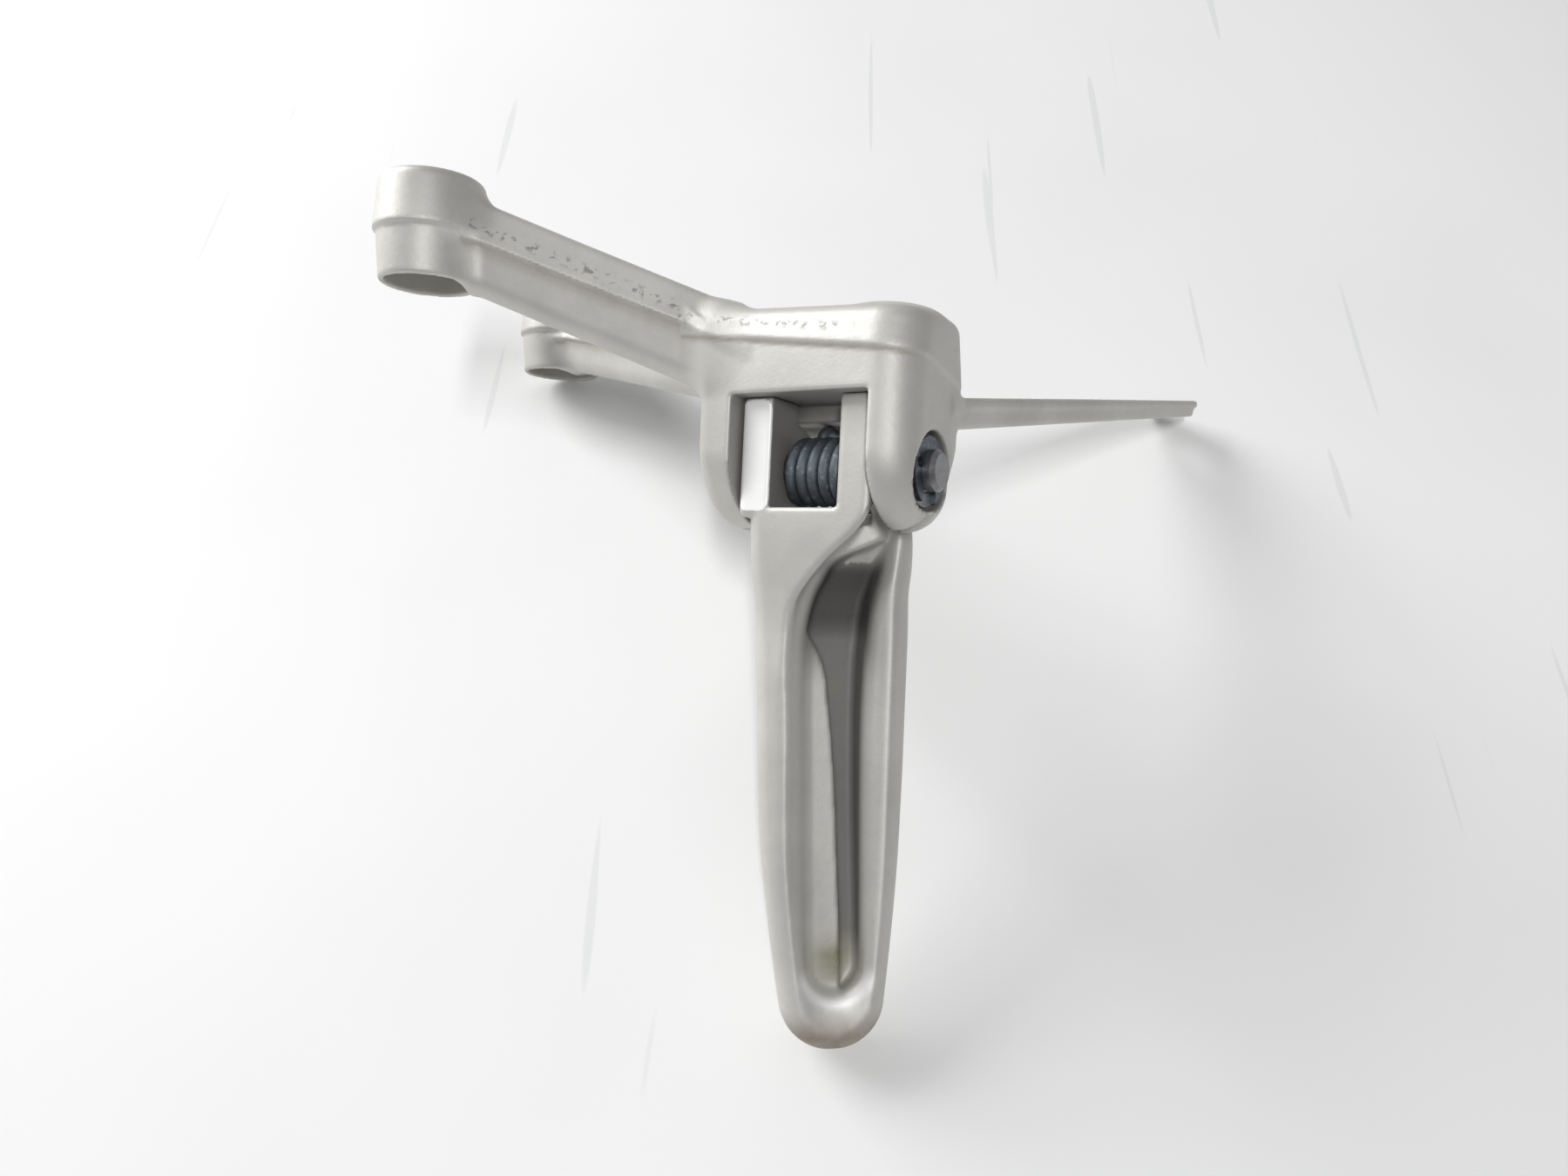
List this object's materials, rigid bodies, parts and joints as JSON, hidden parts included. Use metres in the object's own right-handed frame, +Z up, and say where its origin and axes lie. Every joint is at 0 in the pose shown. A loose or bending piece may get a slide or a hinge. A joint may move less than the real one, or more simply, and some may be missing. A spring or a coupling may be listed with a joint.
{
  "type": "folding motorcycle footpeg on a cast hanger",
  "caption": "Sprung folding passenger footpeg of cast aluminium, on a forked hanger with bolt bosses on splayed arms and a flat stay.",
  "frame": {"origin": "middle of the underside of the whole part's box, on the surface it stands on", "axes": "+Z up from that surface; +X from the foot of the upper boss to the foot of the stay; +Y away from the tip of the peg"},
  "size_m": [0.1998, 0.1962, 0.1041],
  "materials": {
    "hanger_cast": "matt as-cast aluminium, bead blasted",
    "footpeg_cast": "matt as-cast aluminium, scuffed at the tip",
    "pin_steel": "plain turned steel",
    "washer_steel": "dark plain steel",
    "clip_steel": "blued spring steel",
    "spring_steel": "dark blued spring wire, dusty"
  },
  "bodies": {
    "hanger": {"hanger": "hanger_cast", "pivot_pin": "pin_steel", "washer": "washer_steel", "retaining_clip": "clip_steel", "return_spring": "spring_steel"},
    "footpeg": {"footpeg": "footpeg_cast"}
  },
  "joints": [
    {"name": "fold", "type": "hinge", "parent": "hanger", "child": "footpeg", "pos_m": [-0.00485, -0.00174, 0.06823], "axis": [0.8459, -0.2805, 0.4537], "range_deg": [0, 75], "stiffness_Nm_per_rad": 0.12, "springref_deg": -91.67}
  ]
}
